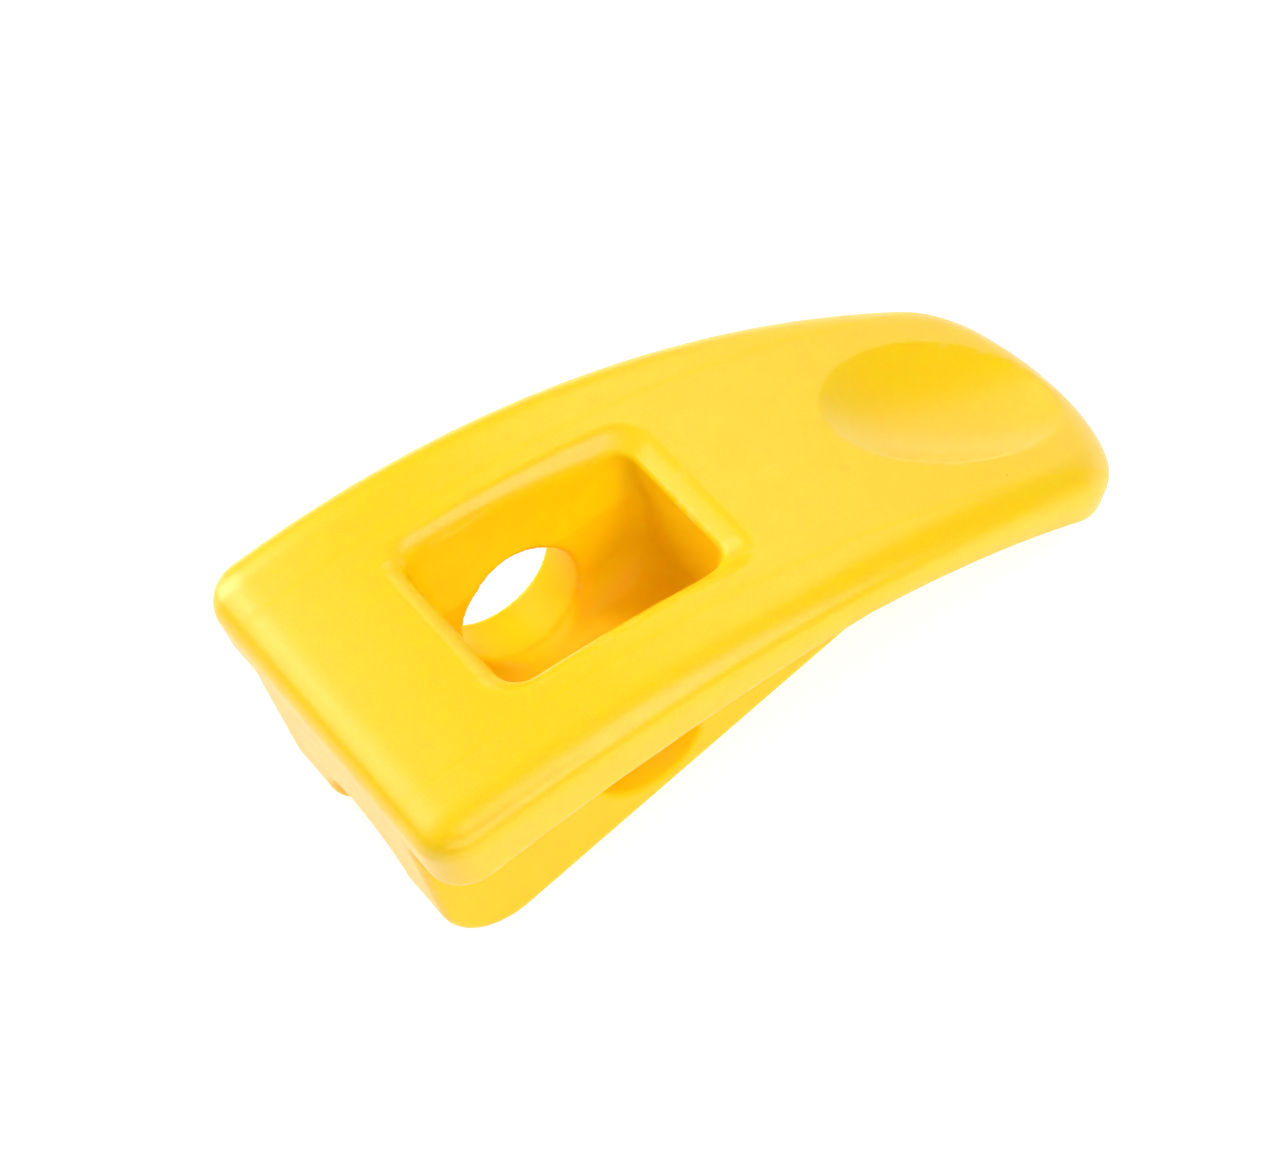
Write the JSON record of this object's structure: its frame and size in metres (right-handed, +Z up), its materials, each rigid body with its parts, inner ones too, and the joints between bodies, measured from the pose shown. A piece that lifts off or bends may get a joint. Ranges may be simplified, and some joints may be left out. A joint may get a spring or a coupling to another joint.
{
  "type": "thumb lever",
  "caption": "Moulded plastic thumb lever: a curved plate with a thumb dimple over a narrower wedge body with a cross bore, an open-topped pocket and an arched groove at the heel.",
  "frame": {"origin": "middle of the footprint, on the surface the lever rests on", "axes": "+X from the heel end to the thumb tip, +Y across, +Z up; it rests on its heel and the lower edge of its tip"},
  "size_m": [0.08, 0.0406, 0.0254],
  "materials": {
    "yellow_plastic": "satin, finely grained as moulded"
  },
  "bodies": {
    "root": {"lever_moulding": "yellow_plastic"}
  },
  "joints": []
}
